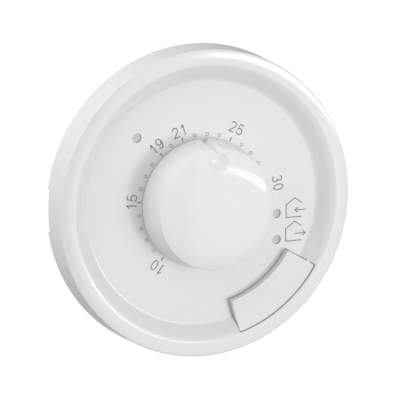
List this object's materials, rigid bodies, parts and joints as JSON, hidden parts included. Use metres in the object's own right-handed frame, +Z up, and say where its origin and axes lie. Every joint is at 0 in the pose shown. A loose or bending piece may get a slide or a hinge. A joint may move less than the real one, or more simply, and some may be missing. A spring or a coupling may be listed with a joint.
{
  "type": "wall thermostat",
  "caption": "Round wall thermostat with a raised rim, a recessed dial plate, a central setting knob, indicator windows and a curved mode button, on a flush-box mechanism.",
  "frame": {"origin": "centre of the support frame's back face, on the wall plane and on the knob's axis", "axes": "+Y into the wall, -Y towards the room, +Z up, +X to the right as seen from the room"},
  "size_m": [0.0727, 0.0363, 0.0728],
  "materials": {
    "cover_white": "fine satin gloss",
    "knob_white": "gloss",
    "button_white": "gloss",
    "light_pipe": "translucent",
    "spring_steel": "bright",
    "switch_white": "matt",
    "black_plastic": "matt",
    "zinc_steel": "zinc plated",
    "screw_steel": "zinc plated",
    "housing_grey": "fine matt",
    "circuit_board": "solder resist",
    "sensor_epoxy": "epoxy",
    "pot_blue": "matt",
    "nickel": "nickel plated",
    "shaft_plastic": "matt",
    "tinned": "tinned",
    "gold_pins": "gold plated",
    "relay_blue": "gloss",
    "copper_winding": "enamelled copper",
    "relay_iron": "nickel plated iron",
    "contact_bronze": "bronze",
    "capacitor_yellow": "matt",
    "capacitor_sleeve": "shrink sleeve",
    "varistor_blue": "epoxy",
    "fuse_brown": "matt",
    "resistor_ceramic": "ceramic coating",
    "terminal_grey": "matt",
    "terminal_brass": "bright",
    "led_red": "clear tinted",
    "led_green": "clear tinted"
  },
  "bodies": {
    "wall_unit": {"support_frame": "zinc_steel", "cover_clips": "spring_steel", "frame_screws": "screw_steel", "rear_housing": "housing_grey", "housing_lid": "housing_grey", "lid_screws": "screw_steel", "control_board": "circuit_board", "board_screws": "screw_steel", "microcontroller": "black_plastic", "temperature_sensor": "sensor_epoxy", "potentiometer_body": "pot_blue", "potentiometer_bushing": "nickel", "potentiometer_pins": "tinned", "switch_body": "black_plastic", "board_socket": "black_plastic", "board_header": "black_plastic", "header_pins": "gold_pins", "power_board": "circuit_board", "relay_base": "black_plastic", "relay_case": "relay_blue", "relay_coil": "copper_winding", "relay_yoke": "relay_iron", "relay_fixed_contact": "contact_bronze", "suppression_capacitor": "capacitor_yellow", "smoothing_capacitor": "capacitor_sleeve", "varistor": "varistor_blue", "fuse": "fuse_brown", "dropper_resistor": "resistor_ceramic", "terminal_block": "terminal_grey", "terminal_clamps": "terminal_brass", "terminal_screws": "screw_steel", "heating_led": "led_red", "comfort_led": "led_green", "setback_led": "led_green"},
    "cover": {"front_cover": "cover_white", "heating_light_pipe": "light_pipe", "comfort_light_pipe": "light_pipe", "setback_light_pipe": "light_pipe"},
    "knob": {"knob": "knob_white", "knob_retaining_ring": "spring_steel"},
    "mode_button": {"mode_button": "button_white"},
    "potentiometer_shaft": {"potentiometer_shaft": "shaft_plastic"},
    "switch_plunger": {"switch_plunger": "switch_white"},
    "relay_armature": {"relay_armature": "relay_iron"}
  },
  "joints": [
    {"name": "cover_pull", "type": "slide", "parent": "wall_unit", "child": "cover", "axis": [0, -1, 0], "range_m": [0, 0.022]},
    {"name": "knob_turn", "type": "hinge", "parent": "cover", "child": "knob", "pos_m": [0, 0, 0], "axis": [0, 1, 0], "range_deg": [-140.5, 81]},
    {"name": "mode_button_press", "type": "slide", "parent": "cover", "child": "mode_button", "axis": [0, 1, 0], "range_m": [0, 0.0008], "stiffness_N_per_m": 2000, "springref_m": -0.0004},
    {"name": "shaft_turn", "type": "hinge", "parent": "wall_unit", "child": "potentiometer_shaft", "pos_m": [0, 0, 0], "axis": [0, 1, 0], "range_deg": [-140.5, 81]},
    {"name": "plunger_press", "type": "slide", "parent": "wall_unit", "child": "switch_plunger", "axis": [0, 1, 0], "range_m": [0, 0.0008]},
    {"name": "armature_pull", "type": "hinge", "parent": "wall_unit", "child": "relay_armature", "pos_m": [-0.0036, 0.0157, -0.0025], "axis": [0, 0, -1], "range_deg": [0, 3.5], "stiffness_Nm_per_rad": 0.02, "springref_deg": -2.86}
  ],
  "couplings": [
    {"joint": "shaft_turn", "follows": "knob_turn", "ratio": 1},
    {"joint": "plunger_press", "follows": "mode_button_press", "ratio": 1}
  ]
}
